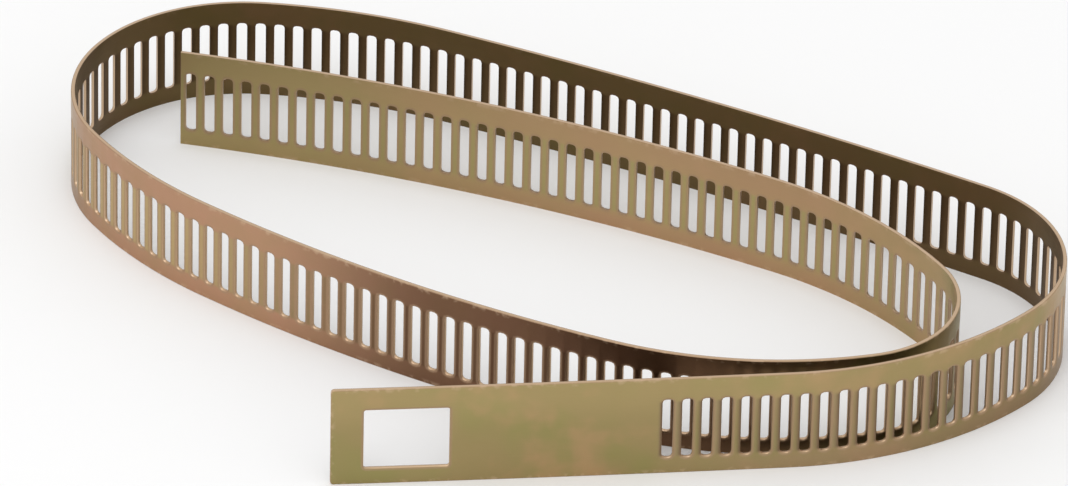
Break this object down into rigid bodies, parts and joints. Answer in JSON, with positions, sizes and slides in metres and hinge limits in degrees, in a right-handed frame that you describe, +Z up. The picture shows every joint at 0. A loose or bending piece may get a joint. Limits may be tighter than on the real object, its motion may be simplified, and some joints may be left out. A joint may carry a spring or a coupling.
{
  "type": "slotted clamping band",
  "caption": "Slotted steel clamping band with a hook window at one end, standing on its edge as a loose coil of almost two turns.",
  "frame": {"origin": "under the middle of the coil's bounding box, on the surface it stands on", "axes": "+X along the long side of the coil, to the right in the picture; +Y away from the camera; +Z up, across the width of the strip"},
  "size_m": [0.2318, 0.1724, 0.025],
  "materials": {
    "yellow_zinc": "yellow passivated zinc plate, olive gold with faint pink and green"
  },
  "bodies": {
    "root": {"band": "yellow_zinc"}
  },
  "joints": []
}
